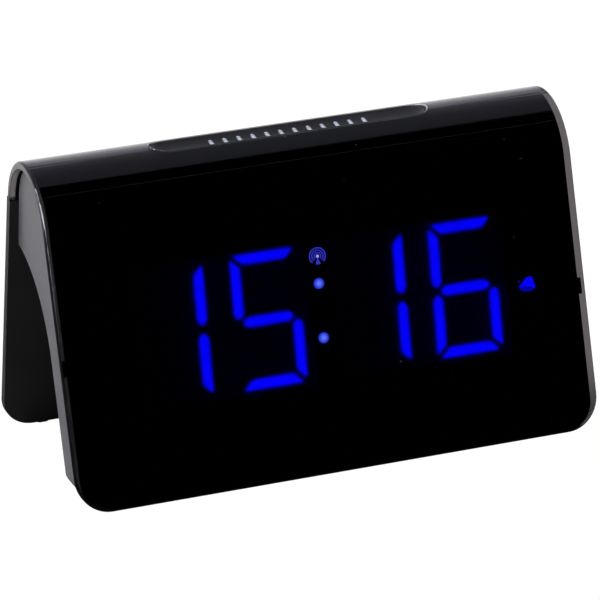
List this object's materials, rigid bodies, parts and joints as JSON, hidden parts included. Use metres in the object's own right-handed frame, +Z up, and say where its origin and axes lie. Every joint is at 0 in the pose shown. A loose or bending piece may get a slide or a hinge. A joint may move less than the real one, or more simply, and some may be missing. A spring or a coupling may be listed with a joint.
{
  "type": "digital desk clock",
  "caption": "Tent-shaped digital desk clock: smoked front bent over the top, lit seven-segment display, sunk snooze bar, leaning rear leg with setting keys, lift-off battery door.",
  "frame": {"origin": "centre of the footprint on the table, below the middle of the bounding box", "axes": "+X to the right along the width as seen from the front, +Y to the back, +Z up"},
  "size_m": [0.15, 0.0761, 0.0889],
  "materials": {
    "smoked_clear": "smoked clear, polished",
    "mask_black": "matte black",
    "housing_grey": "satin moulded",
    "leg_black": "matte moulded",
    "foot_rubber": "soft black",
    "bar_black": "satin moulded",
    "board_green": "coated board",
    "switch_black": "moulded",
    "screw_steel": "plated",
    "screw_black": "blackened",
    "key_grey": "satin moulded",
    "lit_blue": "lit diffuser",
    "lit_sign": "lit diffuser",
    "dark_resin": "unlit diffuser",
    "emitter_white": "lamp body",
    "cell_steel": "plain cell can",
    "contact_nickel": "nickel plated",
    "sounder_brass": "thin disc",
    "ferrite_grey": "sintered",
    "coil_copper": "enamelled wire"
  },
  "bodies": {
    "clock": {"front_cover": "smoked_clear", "light_mask": "mask_black", "main_housing": "housing_grey", "rear_leg": "leg_black", "rear_feet": "foot_rubber", "front_feet": "foot_rubber", "snooze_board": "board_green", "snooze_switch": "switch_black", "snooze_screws": "screw_steel", "key_board": "board_green", "key_switches": "switch_black", "key_screws": "screw_steel", "alarm_switch": "switch_black", "display_frame": "mask_black", "lit_segments": "lit_blue", "dark_segments": "dark_resin", "signal_sign": "lit_sign", "bell_sign": "lit_blue", "colon_dots": "lit_sign", "light_emitters": "emitter_white", "main_board": "board_green", "control_chip": "switch_black", "radio_receiver": "switch_black", "board_screws": "screw_steel", "back_cover": "housing_grey", "backup_cell": "cell_steel", "battery_contacts": "contact_nickel", "power_inlet": "switch_black", "inlet_contact": "contact_nickel", "sounder": "sounder_brass", "case_screws": "screw_steel", "leg_screws": "screw_black", "ferrite_rod": "ferrite_grey", "antenna_coil": "coil_copper", "rod_clips": "switch_black"},
    "snooze_bar": {"snooze_bar": "bar_black"},
    "alarm_knob": {"alarm_knob": "key_grey"},
    "battery_door": {"battery_door": "housing_grey"},
    "time_key": {"time_key": "key_grey"},
    "alarm_key": {"alarm_key": "key_grey"},
    "minus_key": {"minus_key": "key_grey"},
    "plus_key": {"plus_key": "key_grey"},
    "radio_key": {"radio_key": "key_grey"}
  },
  "joints": [
    {"name": "snooze_press", "type": "slide", "parent": "clock", "child": "snooze_bar", "axis": [0, 0, -1], "range_m": [0, 0.0008], "stiffness_N_per_m": 2000, "springref_m": -0.0003},
    {"name": "time_key_press", "type": "slide", "parent": "clock", "child": "time_key", "axis": [0, -0.9542, -0.299], "range_m": [0, 0.0005], "stiffness_N_per_m": 2500, "springref_m": -0.0002},
    {"name": "alarm_key_press", "type": "slide", "parent": "clock", "child": "alarm_key", "axis": [0, -0.9542, -0.299], "range_m": [0, 0.0005], "stiffness_N_per_m": 2500, "springref_m": -0.0002},
    {"name": "minus_key_press", "type": "slide", "parent": "clock", "child": "minus_key", "axis": [0, -0.9542, -0.299], "range_m": [0, 0.0005], "stiffness_N_per_m": 2500, "springref_m": -0.0002},
    {"name": "plus_key_press", "type": "slide", "parent": "clock", "child": "plus_key", "axis": [0, -0.9542, -0.299], "range_m": [0, 0.0005], "stiffness_N_per_m": 2500, "springref_m": -0.0002},
    {"name": "radio_key_press", "type": "slide", "parent": "clock", "child": "radio_key", "axis": [0, -0.9542, -0.299], "range_m": [0, 0.0005], "stiffness_N_per_m": 2500, "springref_m": -0.0002},
    {"name": "alarm_slide", "type": "slide", "parent": "clock", "child": "alarm_knob", "axis": [1, 0, 0], "range_m": [0, 0.003]},
    {"name": "door_lift", "type": "slide", "parent": "clock", "child": "battery_door", "axis": [0, 0.4704, -0.8824], "range_m": [0, 0.012]}
  ]
}
